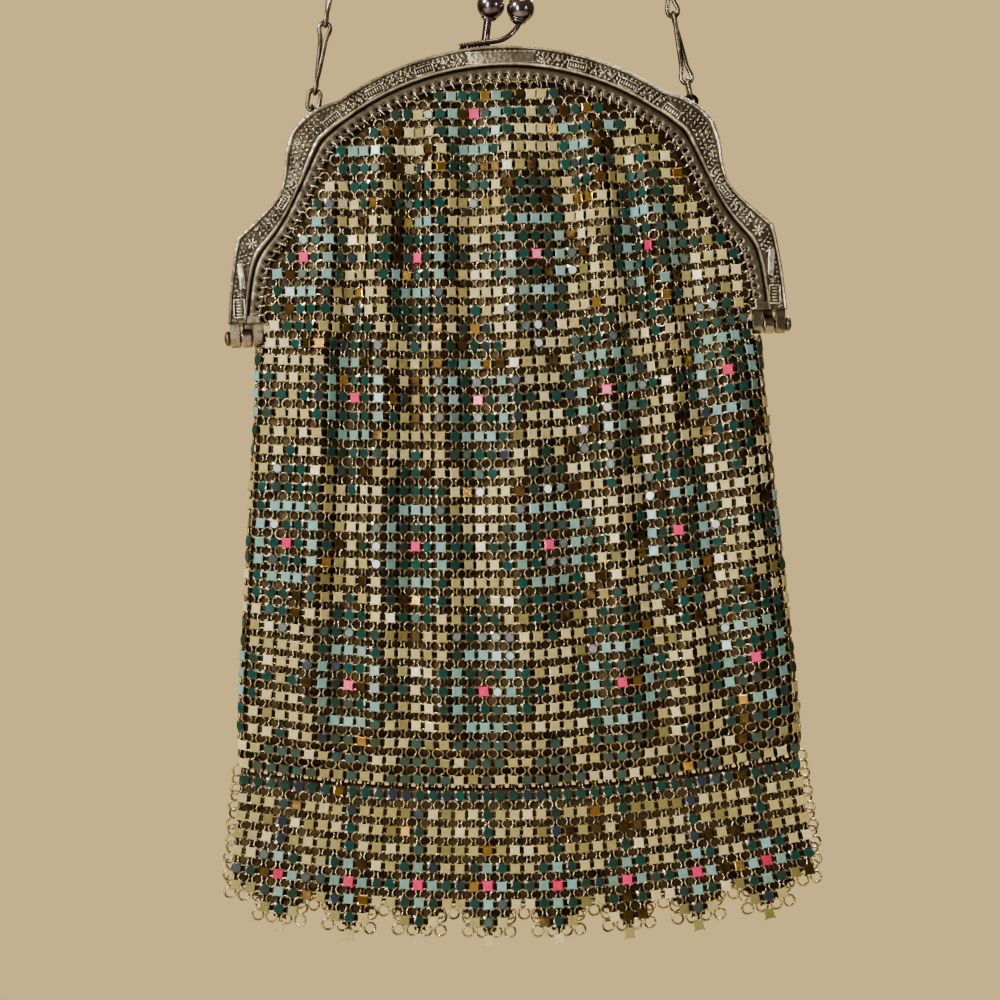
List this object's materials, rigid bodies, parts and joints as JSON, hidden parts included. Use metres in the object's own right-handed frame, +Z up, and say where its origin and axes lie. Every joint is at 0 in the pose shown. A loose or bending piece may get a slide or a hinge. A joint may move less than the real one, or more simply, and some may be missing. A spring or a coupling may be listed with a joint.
{
  "type": "metal mesh purse",
  "caption": "Frame purse of enamelled plate mesh with an embossed arched frame, ball clasp, link chain and a pointed double fringe.",
  "frame": {"origin": "top of the chain, where it lies on the hook or hand that carries the purse", "axes": "+Z up, the front with the overlapping clasp wire faces -Y, +X to the right seen from the front"},
  "size_m": [0.112, 0.0142, 0.2919],
  "materials": {
    "frame_metal": "embossed nickel silver, tarnished dark in the ground",
    "pin_metal": "dull nickel",
    "clasp_metal": "polished, darkened nickel",
    "chain_wire": "worn plated wire",
    "enamelled_mesh": "gloss enamel on stamped plates with bare wire rings"
  },
  "bodies": {
    "root": {"frame_front": "frame_metal", "frame_back": "frame_metal", "hinge_pin_left": "pin_metal", "hinge_pin_right": "pin_metal", "clasp_front": "clasp_metal", "clasp_back": "clasp_metal", "chain": "chain_wire", "mesh_bag": "enamelled_mesh", "fringe_front": "enamelled_mesh", "fringe_back": "enamelled_mesh"}
  },
  "joints": []
}
